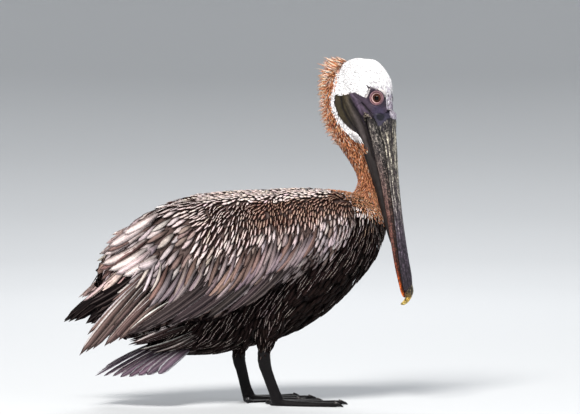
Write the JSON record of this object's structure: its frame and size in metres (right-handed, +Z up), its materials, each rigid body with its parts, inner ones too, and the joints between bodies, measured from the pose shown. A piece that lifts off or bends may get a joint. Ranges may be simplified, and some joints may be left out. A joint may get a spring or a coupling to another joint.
{
  "type": "brown pelican life-size model",
  "caption": "Life-size still model of a standing brown pelican, its long bill resting down along a folded neck.",
  "frame": {"origin": "on the ground under the middle of the bird's box", "axes": "+X towards the breast, +Y to the bird's left, +Z up"},
  "size_m": [0.5662, 0.2246, 0.5712],
  "materials": {
    "body_plumage": "dark brown feathers with thin pale streaks",
    "wing_plumage": "silver-brown lanceolate feathers with dark edges",
    "flight_feathers": "dark grey-brown long feathers with pale shafts",
    "neck_plumage": "chestnut bristly feathers",
    "head_plumage": "short white feathers flecked with grey",
    "bill_horn": "horn, cream and lavender grey with dark streaks, red towards the tip",
    "nail_horn": "yellow horn hook",
    "pouch_skin": "dark olive folded skin",
    "leg_skin": "blackish scaled skin",
    "eye": "dark brown wet eye"
  },
  "bodies": {
    "root": {"head": "head_plumage", "bill_upper": "bill_horn", "bill_lower": "bill_horn", "bill_nail": "nail_horn", "pouch": "pouch_skin", "eye_right": "eye", "eye_left": "eye", "trunk": "body_plumage", "neck": "neck_plumage", "crest": "neck_plumage", "tail": "flight_feathers", "thigh_right": "body_plumage", "leg_right": "leg_skin", "foot_right": "leg_skin", "wing_right": "wing_plumage", "primaries_right": "flight_feathers", "thigh_left": "body_plumage", "leg_left": "leg_skin", "foot_left": "leg_skin", "wing_left": "wing_plumage", "primaries_left": "flight_feathers"}
  },
  "joints": []
}
